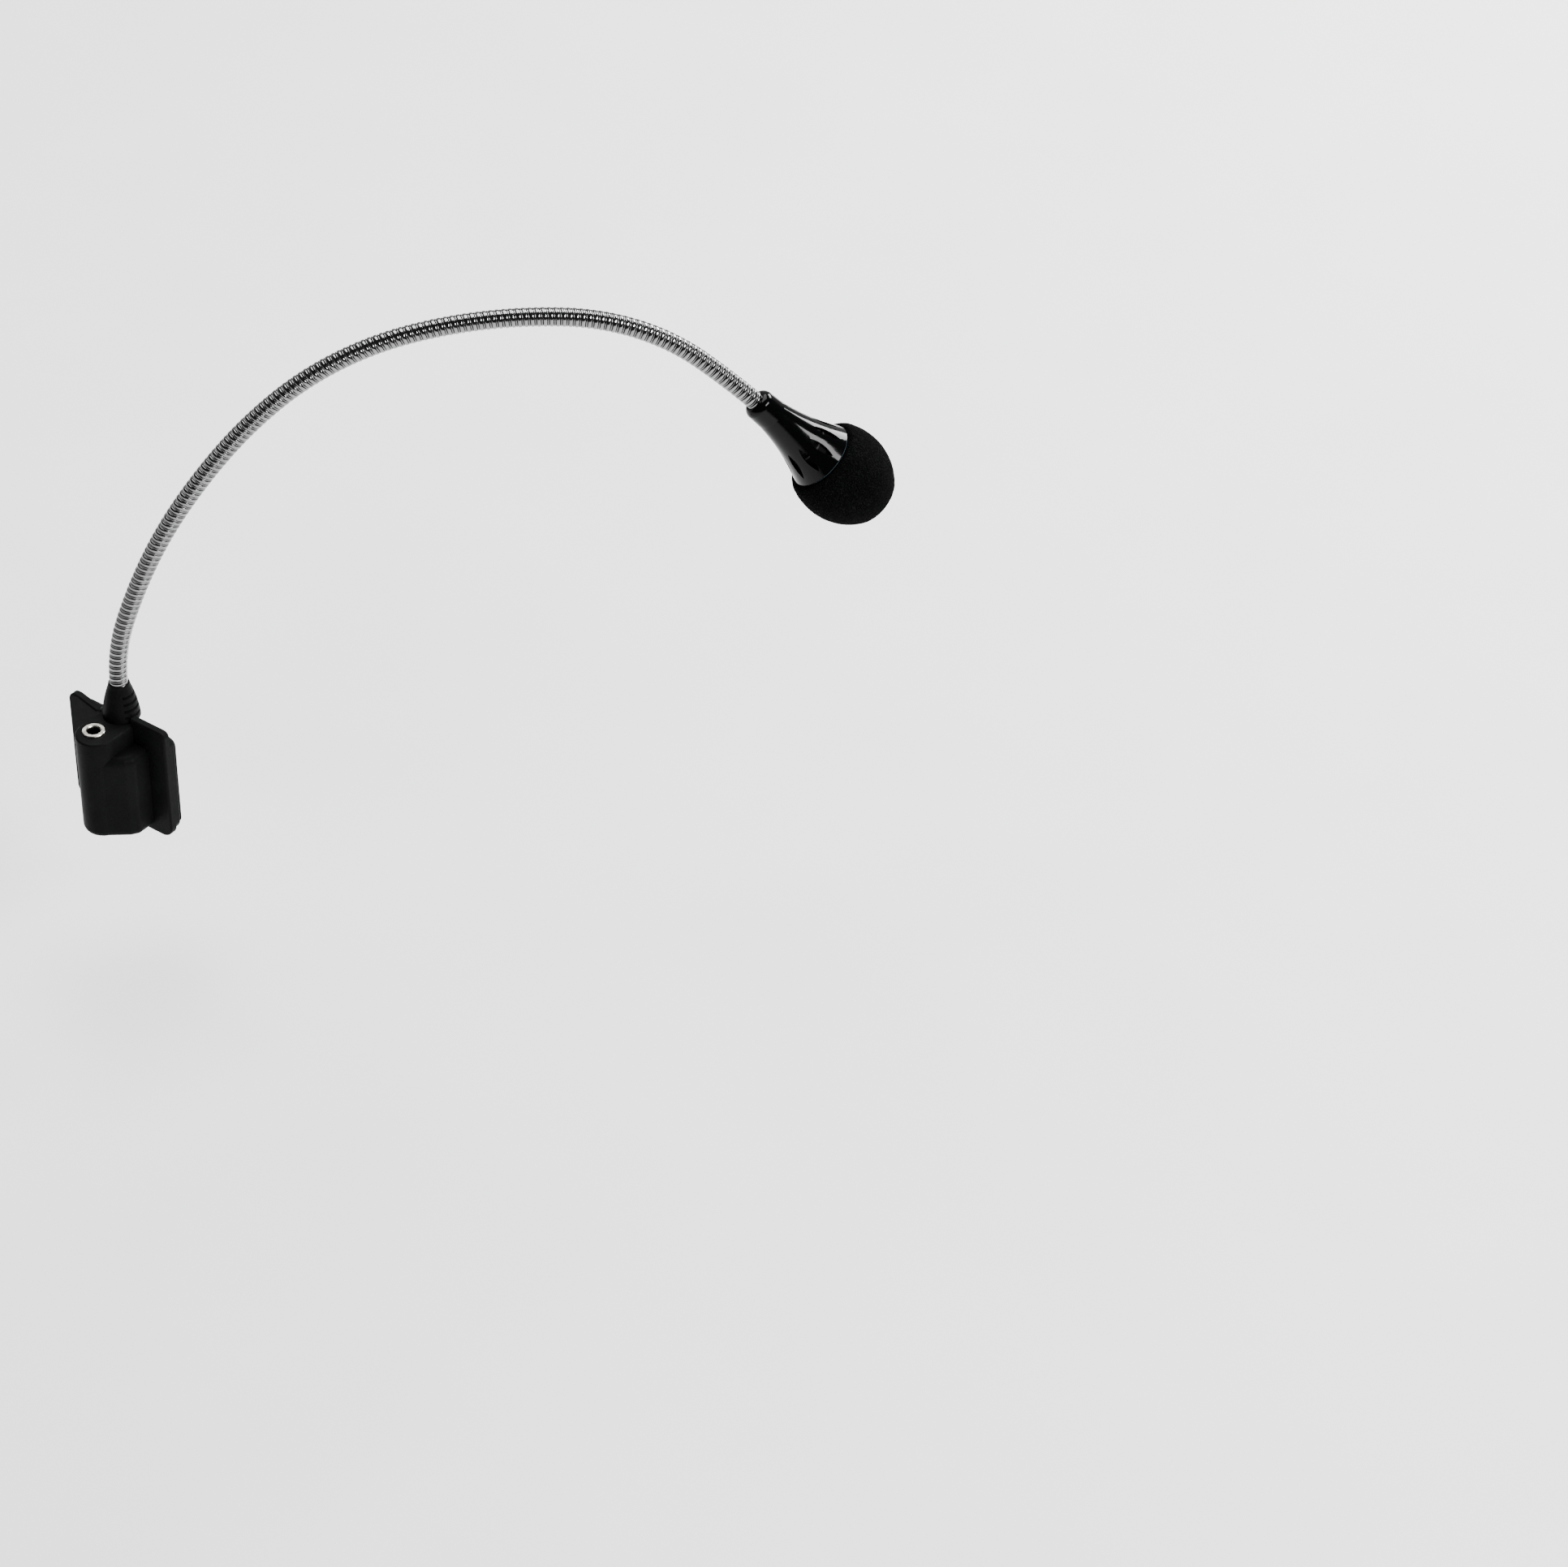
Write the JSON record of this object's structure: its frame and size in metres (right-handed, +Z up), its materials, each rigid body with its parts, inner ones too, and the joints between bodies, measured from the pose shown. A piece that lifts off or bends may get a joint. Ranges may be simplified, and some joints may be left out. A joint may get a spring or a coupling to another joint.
{
  "type": "plug-in gooseneck microphone",
  "caption": "Small plug-in gooseneck microphone: chrome flexible neck with a bell head and foam windscreen, on a black base with a rear plug and a headphone pass-through socket.",
  "frame": {"origin": "on the plug's axis, in the plane of the contact pad's face, where the base meets the instrument's panel", "axes": "+Z up along the base and the start of the neck, +Y along the plug into the panel, +X to the right along the panel as seen from the user's side"},
  "size_m": [0.1664, 0.1654, 0.1498],
  "materials": {
    "housing_plastic": "fine-textured matte black",
    "pad_rubber": "matte black foam rubber",
    "screw_steel": "black zinc steel",
    "plug_nickel": "bright nickel plate",
    "insulator_plastic": "black moulded insulator",
    "jack_nickel": "bright nickel plate",
    "contact_metal": "spring brass",
    "board_laminate": "green solder mask",
    "component_black": "moulded chip bodies",
    "socket_metal": "turned brass",
    "boot_rubber": "matte black",
    "lead_jacket": "grey-black jacket",
    "neck_chrome": "bright chrome winding",
    "bell_gloss": "gloss black",
    "cage_plastic": "matte black",
    "holder_rubber": "soft black rubber",
    "capsule_metal": "drawn can",
    "felt": "black felt",
    "windscreen_foam": "fine-pored black foam"
  },
  "bodies": {
    "base": {"housing_shell": "housing_plastic", "rear_cover": "housing_plastic", "contact_pad": "pad_rubber", "cover_screws": "screw_steel", "plug_sleeve": "plug_nickel", "plug_ring_rear": "plug_nickel", "plug_ring_front": "plug_nickel", "plug_insulator": "insulator_plastic", "plug_tip": "plug_nickel", "jack_collar": "jack_nickel", "jack_body": "insulator_plastic", "jack_tip_contact": "contact_metal", "jack_ring_contact": "contact_metal", "jack_sleeve_contact": "contact_metal", "circuit_board": "board_laminate", "board_components": "component_black", "neck_socket": "socket_metal", "neck_boot": "boot_rubber", "base_lead": "lead_jacket", "neck_coil_01": "neck_chrome", "neck_lead_01": "lead_jacket"},
    "neck_02": {"neck_coil_02": "neck_chrome", "neck_lead_02": "lead_jacket"},
    "neck_03": {"neck_coil_03": "neck_chrome", "neck_lead_03": "lead_jacket"},
    "neck_04": {"neck_coil_04": "neck_chrome", "neck_lead_04": "lead_jacket"},
    "neck_05": {"neck_coil_05": "neck_chrome", "neck_lead_05": "lead_jacket"},
    "neck_06": {"neck_coil_06": "neck_chrome", "neck_lead_06": "lead_jacket"},
    "neck_07": {"neck_coil_07": "neck_chrome", "neck_lead_07": "lead_jacket"},
    "neck_08": {"neck_coil_08": "neck_chrome", "neck_lead_08": "lead_jacket"},
    "neck_09": {"neck_coil_09": "neck_chrome", "neck_lead_09": "lead_jacket"},
    "neck_10": {"neck_coil_10": "neck_chrome", "neck_lead_10": "lead_jacket"},
    "neck_11": {"neck_coil_11": "neck_chrome", "neck_lead_11": "lead_jacket"},
    "head": {"neck_coil_12": "neck_chrome", "neck_lead_12": "lead_jacket", "head_shell": "bell_gloss", "head_ferrule": "socket_metal", "capsule_holder": "holder_rubber", "head_cage": "cage_plastic", "capsule_can": "capsule_metal", "capsule_board": "board_laminate", "capsule_back_plate": "capsule_metal", "capsule_diaphragm": "capsule_metal", "capsule_felt": "felt"},
    "windscreen": {"foam_windscreen": "windscreen_foam"}
  },
  "joints": [
    {"name": "neck_bend_01", "type": "hinge", "parent": "base", "child": "neck_02", "pos_m": [0.0027, -0.00075, 0.04943], "axis": [-0.7071, 0.7071, 0], "range_deg": [-18, 15]},
    {"name": "neck_sway_02", "type": "hinge", "parent": "neck_02", "child": "neck_03", "pos_m": [0.00794, 0.00449, 0.06755], "axis": [0.6372, 0.6372, -0.4337], "range_deg": [-15, 15]},
    {"name": "neck_bend_03", "type": "hinge", "parent": "neck_03", "child": "neck_04", "pos_m": [0.01481, 0.01136, 0.08454], "axis": [-0.7071, 0.7071, 0], "range_deg": [-18, 15]},
    {"name": "neck_sway_04", "type": "hinge", "parent": "neck_04", "child": "neck_05", "pos_m": [0.02314, 0.01969, 0.10017], "axis": [0.5401, 0.5401, -0.6455], "range_deg": [-15, 15]},
    {"name": "neck_bend_05", "type": "hinge", "parent": "neck_05", "child": "neck_06", "pos_m": [0.03292, 0.02947, 0.114], "axis": [-0.7071, 0.7071, 0], "range_deg": [-18, 15]},
    {"name": "neck_sway_06", "type": "hinge", "parent": "neck_06", "child": "neck_07", "pos_m": [0.04446, 0.04101, 0.12473], "axis": [0.3144, 0.3144, -0.8957], "range_deg": [-15, 15]},
    {"name": "neck_bend_07", "type": "hinge", "parent": "neck_07", "child": "neck_08", "pos_m": [0.05749, 0.05404, 0.13121], "axis": [-0.7071, 0.7071, 0], "range_deg": [-18, 15]},
    {"name": "neck_sway_08", "type": "hinge", "parent": "neck_08", "child": "neck_09", "pos_m": [0.0712, 0.06775, 0.1338], "axis": [0.0345, 0.0345, -0.9988], "range_deg": [-15, 15]},
    {"name": "neck_bend_09", "type": "hinge", "parent": "neck_09", "child": "neck_10", "pos_m": [0.08503, 0.08158, 0.1332], "axis": [-0.7071, 0.7071, 0], "range_deg": [-18, 15]},
    {"name": "neck_sway_10", "type": "hinge", "parent": "neck_10", "child": "neck_11", "pos_m": [0.09835, 0.09489, 0.12812], "axis": [-0.2865, -0.2865, -0.9143], "range_deg": [-15, 15]},
    {"name": "neck_bend_11", "type": "hinge", "parent": "neck_11", "child": "head", "pos_m": [0.10995, 0.1065, 0.11757], "axis": [-0.7071, 0.7071, 0], "range_deg": [-18, 15]},
    {"name": "windscreen_pull", "type": "slide", "parent": "head", "child": "windscreen", "axis": [0.4885, 0.4885, -0.723], "range_m": [0, 0.02]}
  ],
  "couplings": [
    {"joint": "neck_bend_03", "follows": "neck_bend_01", "ratio": 1},
    {"joint": "neck_sway_04", "follows": "neck_sway_02", "ratio": 1},
    {"joint": "neck_bend_05", "follows": "neck_bend_01", "ratio": 1},
    {"joint": "neck_sway_08", "follows": "neck_sway_06", "ratio": 1},
    {"joint": "neck_bend_09", "follows": "neck_bend_07", "ratio": 1},
    {"joint": "neck_sway_10", "follows": "neck_sway_06", "ratio": 1},
    {"joint": "neck_bend_11", "follows": "neck_bend_07", "ratio": 1}
  ]
}
